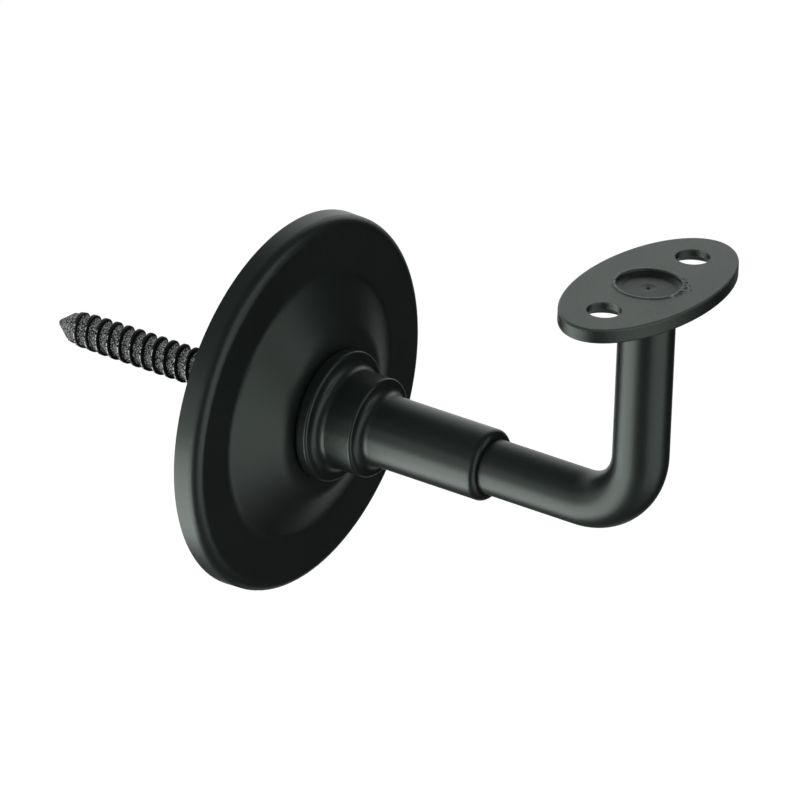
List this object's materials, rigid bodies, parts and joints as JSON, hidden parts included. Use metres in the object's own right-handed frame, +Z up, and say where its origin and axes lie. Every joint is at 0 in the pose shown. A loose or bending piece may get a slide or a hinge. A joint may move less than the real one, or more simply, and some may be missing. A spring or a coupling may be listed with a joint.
{
  "type": "handrail bracket",
  "caption": "Wall bracket for a handrail: domed rosette, stepped collar on a wood-and-machine-thread screw, bent round bar and an oval saddle plate to screw under the rail.",
  "frame": {"origin": "where the screw's axis crosses the wall plane, which is the rosette's open back face", "axes": "+Y into the wall along the screw, +Z up to the handrail, X along the handrail"},
  "size_m": [0.0826, 0.1624, 0.0945],
  "materials": {
    "black_coating": "satin black coating",
    "screw_steel": "rolled, dark and slightly rough"
  },
  "bodies": {
    "root": {"wall_rosette": "black_coating", "neck_collar": "black_coating", "bent_arm": "black_coating", "saddle_plate": "black_coating", "saddle_weld": "black_coating", "hanger_screw": "screw_steel"}
  },
  "joints": []
}
